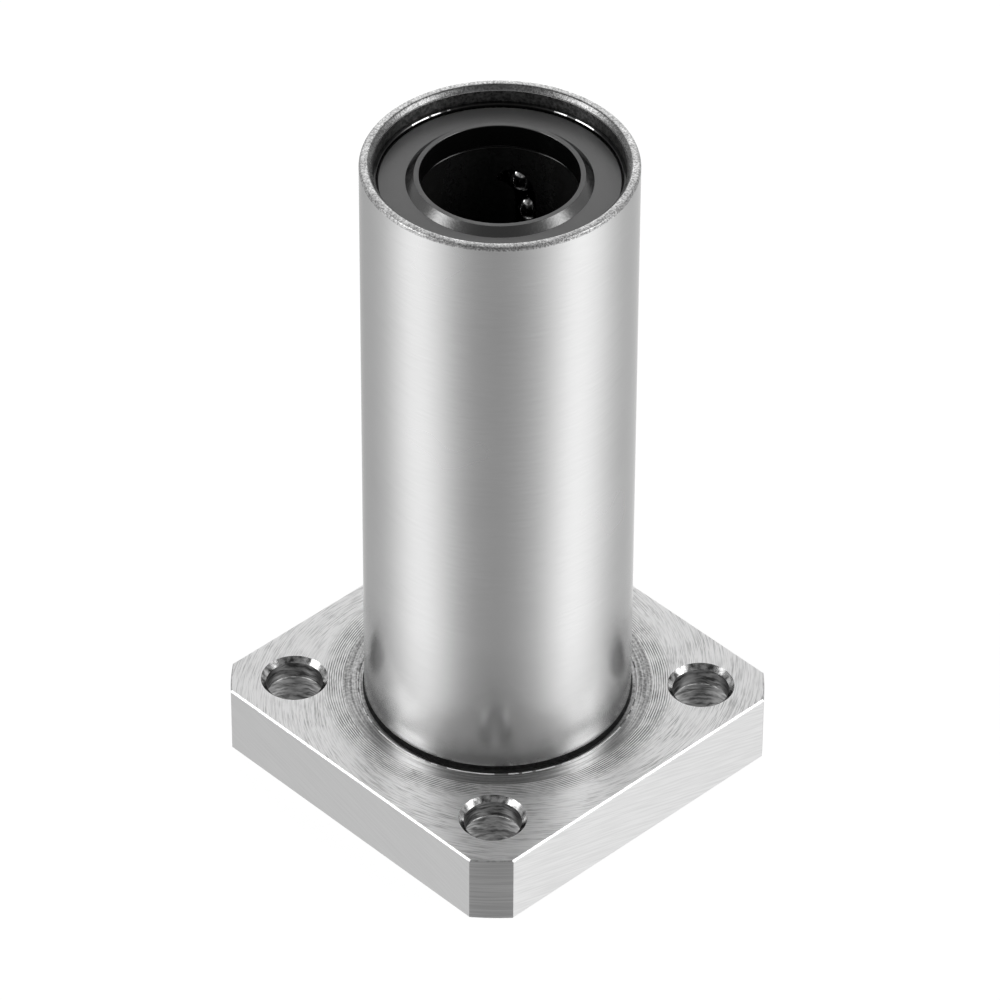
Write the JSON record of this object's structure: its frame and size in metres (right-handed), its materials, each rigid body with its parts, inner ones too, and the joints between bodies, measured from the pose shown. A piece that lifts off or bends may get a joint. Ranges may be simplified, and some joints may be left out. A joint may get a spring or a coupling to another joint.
{
  "type": "square flange linear bearing",
  "caption": "Long linear ball bearing whose round steel sleeve and square mounting flange are one piece, with ball circuits in moulded cages and a rubber seal at each end.",
  "frame": {"origin": "centre of the flange's outer face, on the bore's axis", "axes": "+Z along the bore, from the flange to the free end; the flange's flats face +X, -X, +Y, -Y"},
  "size_m": [0.032, 0.032, 0.057],
  "materials": {
    "bearing_steel": "ground sleeve and finely turned flange, satin",
    "spring_steel": "satin",
    "ring_steel": "satin",
    "ball_steel": "polished",
    "seal_rubber": "satin black",
    "cage_plastic": "moulded black"
  },
  "bodies": {
    "housing": {"flanged_sleeve": "bearing_steel", "upper_seal": "seal_rubber", "lower_seal": "seal_rubber", "upper_retaining_ring": "spring_steel", "lower_retaining_ring": "spring_steel", "upper_ball_cage": "cage_plastic", "lower_ball_cage": "cage_plastic", "distance_ring": "ring_steel"},
    "upper_circuit_1_load_row": {"upper_circuit_1_load_row": "ball_steel"},
    "upper_circuit_1_return_row": {"upper_circuit_1_return_row": "ball_steel"},
    "upper_circuit_1_outer_ramp": {"upper_circuit_1_outer_ramp": "ball_steel"},
    "upper_circuit_1_outer_bend": {"upper_circuit_1_outer_bend": "ball_steel"},
    "upper_circuit_1_inner_ramp": {"upper_circuit_1_inner_ramp": "ball_steel"},
    "upper_circuit_1_inner_bend": {"upper_circuit_1_inner_bend": "ball_steel"},
    "upper_circuit_2_load_row": {"upper_circuit_2_load_row": "ball_steel"},
    "upper_circuit_2_return_row": {"upper_circuit_2_return_row": "ball_steel"},
    "upper_circuit_2_outer_ramp": {"upper_circuit_2_outer_ramp": "ball_steel"},
    "upper_circuit_2_outer_bend": {"upper_circuit_2_outer_bend": "ball_steel"},
    "upper_circuit_2_inner_ramp": {"upper_circuit_2_inner_ramp": "ball_steel"},
    "upper_circuit_2_inner_bend": {"upper_circuit_2_inner_bend": "ball_steel"},
    "upper_circuit_3_load_row": {"upper_circuit_3_load_row": "ball_steel"},
    "upper_circuit_3_return_row": {"upper_circuit_3_return_row": "ball_steel"},
    "upper_circuit_3_outer_ramp": {"upper_circuit_3_outer_ramp": "ball_steel"},
    "upper_circuit_3_outer_bend": {"upper_circuit_3_outer_bend": "ball_steel"},
    "upper_circuit_3_inner_ramp": {"upper_circuit_3_inner_ramp": "ball_steel"},
    "upper_circuit_3_inner_bend": {"upper_circuit_3_inner_bend": "ball_steel"},
    "upper_circuit_4_load_row": {"upper_circuit_4_load_row": "ball_steel"},
    "upper_circuit_4_return_row": {"upper_circuit_4_return_row": "ball_steel"},
    "upper_circuit_4_outer_ramp": {"upper_circuit_4_outer_ramp": "ball_steel"},
    "upper_circuit_4_outer_bend": {"upper_circuit_4_outer_bend": "ball_steel"},
    "upper_circuit_4_inner_ramp": {"upper_circuit_4_inner_ramp": "ball_steel"},
    "upper_circuit_4_inner_bend": {"upper_circuit_4_inner_bend": "ball_steel"},
    "lower_circuit_1_load_row": {"lower_circuit_1_load_row": "ball_steel"},
    "lower_circuit_1_return_row": {"lower_circuit_1_return_row": "ball_steel"},
    "lower_circuit_1_outer_ramp": {"lower_circuit_1_outer_ramp": "ball_steel"},
    "lower_circuit_1_outer_bend": {"lower_circuit_1_outer_bend": "ball_steel"},
    "lower_circuit_1_inner_ramp": {"lower_circuit_1_inner_ramp": "ball_steel"},
    "lower_circuit_1_inner_bend": {"lower_circuit_1_inner_bend": "ball_steel"},
    "lower_circuit_2_load_row": {"lower_circuit_2_load_row": "ball_steel"},
    "lower_circuit_2_return_row": {"lower_circuit_2_return_row": "ball_steel"},
    "lower_circuit_2_outer_ramp": {"lower_circuit_2_outer_ramp": "ball_steel"},
    "lower_circuit_2_outer_bend": {"lower_circuit_2_outer_bend": "ball_steel"},
    "lower_circuit_2_inner_ramp": {"lower_circuit_2_inner_ramp": "ball_steel"},
    "lower_circuit_2_inner_bend": {"lower_circuit_2_inner_bend": "ball_steel"},
    "lower_circuit_3_load_row": {"lower_circuit_3_load_row": "ball_steel"},
    "lower_circuit_3_return_row": {"lower_circuit_3_return_row": "ball_steel"},
    "lower_circuit_3_outer_ramp": {"lower_circuit_3_outer_ramp": "ball_steel"},
    "lower_circuit_3_outer_bend": {"lower_circuit_3_outer_bend": "ball_steel"},
    "lower_circuit_3_inner_ramp": {"lower_circuit_3_inner_ramp": "ball_steel"},
    "lower_circuit_3_inner_bend": {"lower_circuit_3_inner_bend": "ball_steel"},
    "lower_circuit_4_load_row": {"lower_circuit_4_load_row": "ball_steel"},
    "lower_circuit_4_return_row": {"lower_circuit_4_return_row": "ball_steel"},
    "lower_circuit_4_outer_ramp": {"lower_circuit_4_outer_ramp": "ball_steel"},
    "lower_circuit_4_outer_bend": {"lower_circuit_4_outer_bend": "ball_steel"},
    "lower_circuit_4_inner_ramp": {"lower_circuit_4_inner_ramp": "ball_steel"},
    "lower_circuit_4_inner_bend": {"lower_circuit_4_inner_bend": "ball_steel"}
  },
  "joints": [
    {"name": "upper_circuit_1_load_row_roll", "type": "slide", "parent": "housing", "child": "upper_circuit_1_load_row", "axis": [0, 0, 1], "range_m": [-0.0009, 0.0009]},
    {"name": "upper_circuit_1_return_row_roll", "type": "slide", "parent": "housing", "child": "upper_circuit_1_return_row", "axis": [0, 0, 1], "range_m": [-0.0009, 0.0009]},
    {"name": "upper_circuit_1_outer_ramp_roll", "type": "hinge", "parent": "housing", "child": "upper_circuit_1_outer_ramp", "pos_m": [0.00551, 0.00496, 0.04917], "axis": [0.8829, 0.4695, 0], "range_deg": [-28.77, 28.77]},
    {"name": "upper_circuit_1_outer_bend_roll", "type": "hinge", "parent": "housing", "child": "upper_circuit_1_outer_bend", "pos_m": [0.00551, 0.00496, 0.04902], "axis": [0.8332, 0.553, 0], "range_deg": [-26.59, 26.59]},
    {"name": "upper_circuit_1_inner_ramp_roll", "type": "hinge", "parent": "housing", "child": "upper_circuit_1_inner_ramp", "pos_m": [0.00551, 0.00496, 0.03463], "axis": [0.8829, 0.4695, 0], "range_deg": [-28.77, 28.77]},
    {"name": "upper_circuit_1_inner_bend_roll", "type": "hinge", "parent": "housing", "child": "upper_circuit_1_inner_bend", "pos_m": [0.00551, 0.00496, 0.03478], "axis": [0.8332, 0.553, 0], "range_deg": [-26.59, 26.59]},
    {"name": "upper_circuit_2_load_row_roll", "type": "slide", "parent": "housing", "child": "upper_circuit_2_load_row", "axis": [0, 0, 1], "range_m": [-0.0009, 0.0009]},
    {"name": "upper_circuit_2_return_row_roll", "type": "slide", "parent": "housing", "child": "upper_circuit_2_return_row", "axis": [0, 0, 1], "range_m": [-0.0009, 0.0009]},
    {"name": "upper_circuit_2_outer_ramp_roll", "type": "hinge", "parent": "housing", "child": "upper_circuit_2_outer_ramp", "pos_m": [-0.00496, 0.00551, 0.04917], "axis": [-0.4695, 0.8829, 0], "range_deg": [-28.77, 28.77]},
    {"name": "upper_circuit_2_outer_bend_roll", "type": "hinge", "parent": "housing", "child": "upper_circuit_2_outer_bend", "pos_m": [-0.00496, 0.00551, 0.04902], "axis": [-0.553, 0.8332, 0], "range_deg": [-26.59, 26.59]},
    {"name": "upper_circuit_2_inner_ramp_roll", "type": "hinge", "parent": "housing", "child": "upper_circuit_2_inner_ramp", "pos_m": [-0.00496, 0.00551, 0.03463], "axis": [-0.4695, 0.8829, 0], "range_deg": [-28.77, 28.77]},
    {"name": "upper_circuit_2_inner_bend_roll", "type": "hinge", "parent": "housing", "child": "upper_circuit_2_inner_bend", "pos_m": [-0.00496, 0.00551, 0.03478], "axis": [-0.553, 0.8332, 0], "range_deg": [-26.59, 26.59]},
    {"name": "upper_circuit_3_load_row_roll", "type": "slide", "parent": "housing", "child": "upper_circuit_3_load_row", "axis": [0, 0, 1], "range_m": [-0.0009, 0.0009]},
    {"name": "upper_circuit_3_return_row_roll", "type": "slide", "parent": "housing", "child": "upper_circuit_3_return_row", "axis": [0, 0, 1], "range_m": [-0.0009, 0.0009]},
    {"name": "upper_circuit_3_outer_ramp_roll", "type": "hinge", "parent": "housing", "child": "upper_circuit_3_outer_ramp", "pos_m": [-0.00551, -0.00496, 0.04917], "axis": [-0.8829, -0.4695, 0], "range_deg": [-28.77, 28.77]},
    {"name": "upper_circuit_3_outer_bend_roll", "type": "hinge", "parent": "housing", "child": "upper_circuit_3_outer_bend", "pos_m": [-0.00551, -0.00496, 0.04902], "axis": [-0.8332, -0.553, 0], "range_deg": [-26.59, 26.59]},
    {"name": "upper_circuit_3_inner_ramp_roll", "type": "hinge", "parent": "housing", "child": "upper_circuit_3_inner_ramp", "pos_m": [-0.00551, -0.00496, 0.03463], "axis": [-0.8829, -0.4695, 0], "range_deg": [-28.77, 28.77]},
    {"name": "upper_circuit_3_inner_bend_roll", "type": "hinge", "parent": "housing", "child": "upper_circuit_3_inner_bend", "pos_m": [-0.00551, -0.00496, 0.03478], "axis": [-0.8332, -0.553, 0], "range_deg": [-26.59, 26.59]},
    {"name": "upper_circuit_4_load_row_roll", "type": "slide", "parent": "housing", "child": "upper_circuit_4_load_row", "axis": [0, 0, 1], "range_m": [-0.0009, 0.0009]},
    {"name": "upper_circuit_4_return_row_roll", "type": "slide", "parent": "housing", "child": "upper_circuit_4_return_row", "axis": [0, 0, 1], "range_m": [-0.0009, 0.0009]},
    {"name": "upper_circuit_4_outer_ramp_roll", "type": "hinge", "parent": "housing", "child": "upper_circuit_4_outer_ramp", "pos_m": [0.00496, -0.00551, 0.04917], "axis": [0.4695, -0.8829, 0], "range_deg": [-28.77, 28.77]},
    {"name": "upper_circuit_4_outer_bend_roll", "type": "hinge", "parent": "housing", "child": "upper_circuit_4_outer_bend", "pos_m": [0.00496, -0.00551, 0.04902], "axis": [0.553, -0.8332, 0], "range_deg": [-26.59, 26.59]},
    {"name": "upper_circuit_4_inner_ramp_roll", "type": "hinge", "parent": "housing", "child": "upper_circuit_4_inner_ramp", "pos_m": [0.00496, -0.00551, 0.03463], "axis": [0.4695, -0.8829, 0], "range_deg": [-28.77, 28.77]},
    {"name": "upper_circuit_4_inner_bend_roll", "type": "hinge", "parent": "housing", "child": "upper_circuit_4_inner_bend", "pos_m": [0.00496, -0.00551, 0.03478], "axis": [0.553, -0.8332, 0], "range_deg": [-26.59, 26.59]},
    {"name": "lower_circuit_1_load_row_roll", "type": "slide", "parent": "housing", "child": "lower_circuit_1_load_row", "axis": [0, 0, 1], "range_m": [-0.0009, 0.0009]},
    {"name": "lower_circuit_1_return_row_roll", "type": "slide", "parent": "housing", "child": "lower_circuit_1_return_row", "axis": [0, 0, 1], "range_m": [-0.0009, 0.0009]},
    {"name": "lower_circuit_1_outer_ramp_roll", "type": "hinge", "parent": "housing", "child": "lower_circuit_1_outer_ramp", "pos_m": [0.00719, 0.00179, 0.00783], "axis": [0.8829, 0.4695, 0], "range_deg": [-28.77, 28.77]},
    {"name": "lower_circuit_1_outer_bend_roll", "type": "hinge", "parent": "housing", "child": "lower_circuit_1_outer_bend", "pos_m": [0.00719, 0.00179, 0.00798], "axis": [0.9244, 0.3815, 0], "range_deg": [-26.59, 26.59]},
    {"name": "lower_circuit_1_inner_ramp_roll", "type": "hinge", "parent": "housing", "child": "lower_circuit_1_inner_ramp", "pos_m": [0.00719, 0.00179, 0.02237], "axis": [0.8829, 0.4695, 0], "range_deg": [-28.77, 28.77]},
    {"name": "lower_circuit_1_inner_bend_roll", "type": "hinge", "parent": "housing", "child": "lower_circuit_1_inner_bend", "pos_m": [0.00719, 0.00179, 0.02222], "axis": [0.9244, 0.3815, 0], "range_deg": [-26.59, 26.59]},
    {"name": "lower_circuit_2_load_row_roll", "type": "slide", "parent": "housing", "child": "lower_circuit_2_load_row", "axis": [0, 0, 1], "range_m": [-0.0009, 0.0009]},
    {"name": "lower_circuit_2_return_row_roll", "type": "slide", "parent": "housing", "child": "lower_circuit_2_return_row", "axis": [0, 0, 1], "range_m": [-0.0009, 0.0009]},
    {"name": "lower_circuit_2_outer_ramp_roll", "type": "hinge", "parent": "housing", "child": "lower_circuit_2_outer_ramp", "pos_m": [0.00179, -0.00719, 0.00783], "axis": [0.4695, -0.8829, 0], "range_deg": [-28.77, 28.77]},
    {"name": "lower_circuit_2_outer_bend_roll", "type": "hinge", "parent": "housing", "child": "lower_circuit_2_outer_bend", "pos_m": [0.00179, -0.00719, 0.00798], "axis": [0.3815, -0.9244, 0], "range_deg": [-26.59, 26.59]},
    {"name": "lower_circuit_2_inner_ramp_roll", "type": "hinge", "parent": "housing", "child": "lower_circuit_2_inner_ramp", "pos_m": [0.00179, -0.00719, 0.02237], "axis": [0.4695, -0.8829, 0], "range_deg": [-28.77, 28.77]},
    {"name": "lower_circuit_2_inner_bend_roll", "type": "hinge", "parent": "housing", "child": "lower_circuit_2_inner_bend", "pos_m": [0.00179, -0.00719, 0.02222], "axis": [0.3815, -0.9244, 0], "range_deg": [-26.59, 26.59]},
    {"name": "lower_circuit_3_load_row_roll", "type": "slide", "parent": "housing", "child": "lower_circuit_3_load_row", "axis": [0, 0, 1], "range_m": [-0.0009, 0.0009]},
    {"name": "lower_circuit_3_return_row_roll", "type": "slide", "parent": "housing", "child": "lower_circuit_3_return_row", "axis": [0, 0, 1], "range_m": [-0.0009, 0.0009]},
    {"name": "lower_circuit_3_outer_ramp_roll", "type": "hinge", "parent": "housing", "child": "lower_circuit_3_outer_ramp", "pos_m": [-0.00719, -0.00179, 0.00783], "axis": [-0.8829, -0.4695, 0], "range_deg": [-28.77, 28.77]},
    {"name": "lower_circuit_3_outer_bend_roll", "type": "hinge", "parent": "housing", "child": "lower_circuit_3_outer_bend", "pos_m": [-0.00719, -0.00179, 0.00798], "axis": [-0.9244, -0.3815, 0], "range_deg": [-26.59, 26.59]},
    {"name": "lower_circuit_3_inner_ramp_roll", "type": "hinge", "parent": "housing", "child": "lower_circuit_3_inner_ramp", "pos_m": [-0.00719, -0.00179, 0.02237], "axis": [-0.8829, -0.4695, 0], "range_deg": [-28.77, 28.77]},
    {"name": "lower_circuit_3_inner_bend_roll", "type": "hinge", "parent": "housing", "child": "lower_circuit_3_inner_bend", "pos_m": [-0.00719, -0.00179, 0.02222], "axis": [-0.9244, -0.3815, 0], "range_deg": [-26.59, 26.59]},
    {"name": "lower_circuit_4_load_row_roll", "type": "slide", "parent": "housing", "child": "lower_circuit_4_load_row", "axis": [0, 0, 1], "range_m": [-0.0009, 0.0009]},
    {"name": "lower_circuit_4_return_row_roll", "type": "slide", "parent": "housing", "child": "lower_circuit_4_return_row", "axis": [0, 0, 1], "range_m": [-0.0009, 0.0009]},
    {"name": "lower_circuit_4_outer_ramp_roll", "type": "hinge", "parent": "housing", "child": "lower_circuit_4_outer_ramp", "pos_m": [-0.00179, 0.00719, 0.00783], "axis": [-0.4695, 0.8829, 0], "range_deg": [-28.77, 28.77]},
    {"name": "lower_circuit_4_outer_bend_roll", "type": "hinge", "parent": "housing", "child": "lower_circuit_4_outer_bend", "pos_m": [-0.00179, 0.00719, 0.00798], "axis": [-0.3815, 0.9244, 0], "range_deg": [-26.59, 26.59]},
    {"name": "lower_circuit_4_inner_ramp_roll", "type": "hinge", "parent": "housing", "child": "lower_circuit_4_inner_ramp", "pos_m": [-0.00179, 0.00719, 0.02237], "axis": [-0.4695, 0.8829, 0], "range_deg": [-28.77, 28.77]},
    {"name": "lower_circuit_4_inner_bend_roll", "type": "hinge", "parent": "housing", "child": "lower_circuit_4_inner_bend", "pos_m": [-0.00179, 0.00719, 0.02222], "axis": [-0.3815, 0.9244, 0], "range_deg": [-26.59, 26.59]}
  ],
  "couplings": [
    {"joint": "upper_circuit_1_return_row_roll", "follows": "upper_circuit_1_load_row_roll", "ratio": -1},
    {"joint": "upper_circuit_1_outer_ramp_roll", "follows": "upper_circuit_1_load_row_roll", "rad_per_m": -557.79},
    {"joint": "upper_circuit_1_outer_bend_roll", "follows": "upper_circuit_1_load_row_roll", "rad_per_m": -515.59},
    {"joint": "upper_circuit_1_inner_ramp_roll", "follows": "upper_circuit_1_load_row_roll", "rad_per_m": -557.79},
    {"joint": "upper_circuit_1_inner_bend_roll", "follows": "upper_circuit_1_load_row_roll", "rad_per_m": -515.59},
    {"joint": "upper_circuit_2_load_row_roll", "follows": "upper_circuit_1_load_row_roll", "ratio": 1},
    {"joint": "upper_circuit_2_return_row_roll", "follows": "upper_circuit_1_load_row_roll", "ratio": -1},
    {"joint": "upper_circuit_2_outer_ramp_roll", "follows": "upper_circuit_1_load_row_roll", "rad_per_m": -557.79},
    {"joint": "upper_circuit_2_outer_bend_roll", "follows": "upper_circuit_1_load_row_roll", "rad_per_m": -515.59},
    {"joint": "upper_circuit_2_inner_ramp_roll", "follows": "upper_circuit_1_load_row_roll", "rad_per_m": -557.79},
    {"joint": "upper_circuit_2_inner_bend_roll", "follows": "upper_circuit_1_load_row_roll", "rad_per_m": -515.59},
    {"joint": "upper_circuit_3_load_row_roll", "follows": "upper_circuit_1_load_row_roll", "ratio": 1},
    {"joint": "upper_circuit_3_return_row_roll", "follows": "upper_circuit_1_load_row_roll", "ratio": -1},
    {"joint": "upper_circuit_3_outer_ramp_roll", "follows": "upper_circuit_1_load_row_roll", "rad_per_m": -557.79},
    {"joint": "upper_circuit_3_outer_bend_roll", "follows": "upper_circuit_1_load_row_roll", "rad_per_m": -515.59},
    {"joint": "upper_circuit_3_inner_ramp_roll", "follows": "upper_circuit_1_load_row_roll", "rad_per_m": -557.79},
    {"joint": "upper_circuit_3_inner_bend_roll", "follows": "upper_circuit_1_load_row_roll", "rad_per_m": -515.59},
    {"joint": "upper_circuit_4_load_row_roll", "follows": "upper_circuit_1_load_row_roll", "ratio": 1},
    {"joint": "upper_circuit_4_return_row_roll", "follows": "upper_circuit_1_load_row_roll", "ratio": -1},
    {"joint": "upper_circuit_4_outer_ramp_roll", "follows": "upper_circuit_1_load_row_roll", "rad_per_m": -557.79},
    {"joint": "upper_circuit_4_outer_bend_roll", "follows": "upper_circuit_1_load_row_roll", "rad_per_m": -515.59},
    {"joint": "upper_circuit_4_inner_ramp_roll", "follows": "upper_circuit_1_load_row_roll", "rad_per_m": -557.79},
    {"joint": "upper_circuit_4_inner_bend_roll", "follows": "upper_circuit_1_load_row_roll", "rad_per_m": -515.59},
    {"joint": "lower_circuit_1_load_row_roll", "follows": "upper_circuit_1_load_row_roll", "ratio": 1},
    {"joint": "lower_circuit_1_return_row_roll", "follows": "upper_circuit_1_load_row_roll", "ratio": -1},
    {"joint": "lower_circuit_1_outer_ramp_roll", "follows": "upper_circuit_1_load_row_roll", "rad_per_m": 557.79},
    {"joint": "lower_circuit_1_outer_bend_roll", "follows": "upper_circuit_1_load_row_roll", "rad_per_m": 515.59},
    {"joint": "lower_circuit_1_inner_ramp_roll", "follows": "upper_circuit_1_load_row_roll", "rad_per_m": 557.79},
    {"joint": "lower_circuit_1_inner_bend_roll", "follows": "upper_circuit_1_load_row_roll", "rad_per_m": 515.59},
    {"joint": "lower_circuit_2_load_row_roll", "follows": "upper_circuit_1_load_row_roll", "ratio": 1},
    {"joint": "lower_circuit_2_return_row_roll", "follows": "upper_circuit_1_load_row_roll", "ratio": -1},
    {"joint": "lower_circuit_2_outer_ramp_roll", "follows": "upper_circuit_1_load_row_roll", "rad_per_m": 557.79},
    {"joint": "lower_circuit_2_outer_bend_roll", "follows": "upper_circuit_1_load_row_roll", "rad_per_m": 515.59},
    {"joint": "lower_circuit_2_inner_ramp_roll", "follows": "upper_circuit_1_load_row_roll", "rad_per_m": 557.79},
    {"joint": "lower_circuit_2_inner_bend_roll", "follows": "upper_circuit_1_load_row_roll", "rad_per_m": 515.59},
    {"joint": "lower_circuit_3_load_row_roll", "follows": "upper_circuit_1_load_row_roll", "ratio": 1},
    {"joint": "lower_circuit_3_return_row_roll", "follows": "upper_circuit_1_load_row_roll", "ratio": -1},
    {"joint": "lower_circuit_3_outer_ramp_roll", "follows": "upper_circuit_1_load_row_roll", "rad_per_m": 557.79},
    {"joint": "lower_circuit_3_outer_bend_roll", "follows": "upper_circuit_1_load_row_roll", "rad_per_m": 515.59},
    {"joint": "lower_circuit_3_inner_ramp_roll", "follows": "upper_circuit_1_load_row_roll", "rad_per_m": 557.79},
    {"joint": "lower_circuit_3_inner_bend_roll", "follows": "upper_circuit_1_load_row_roll", "rad_per_m": 515.59},
    {"joint": "lower_circuit_4_load_row_roll", "follows": "upper_circuit_1_load_row_roll", "ratio": 1},
    {"joint": "lower_circuit_4_return_row_roll", "follows": "upper_circuit_1_load_row_roll", "ratio": -1},
    {"joint": "lower_circuit_4_outer_ramp_roll", "follows": "upper_circuit_1_load_row_roll", "rad_per_m": 557.79},
    {"joint": "lower_circuit_4_outer_bend_roll", "follows": "upper_circuit_1_load_row_roll", "rad_per_m": 515.59},
    {"joint": "lower_circuit_4_inner_ramp_roll", "follows": "upper_circuit_1_load_row_roll", "rad_per_m": 557.79},
    {"joint": "lower_circuit_4_inner_bend_roll", "follows": "upper_circuit_1_load_row_roll", "rad_per_m": 515.59}
  ]
}
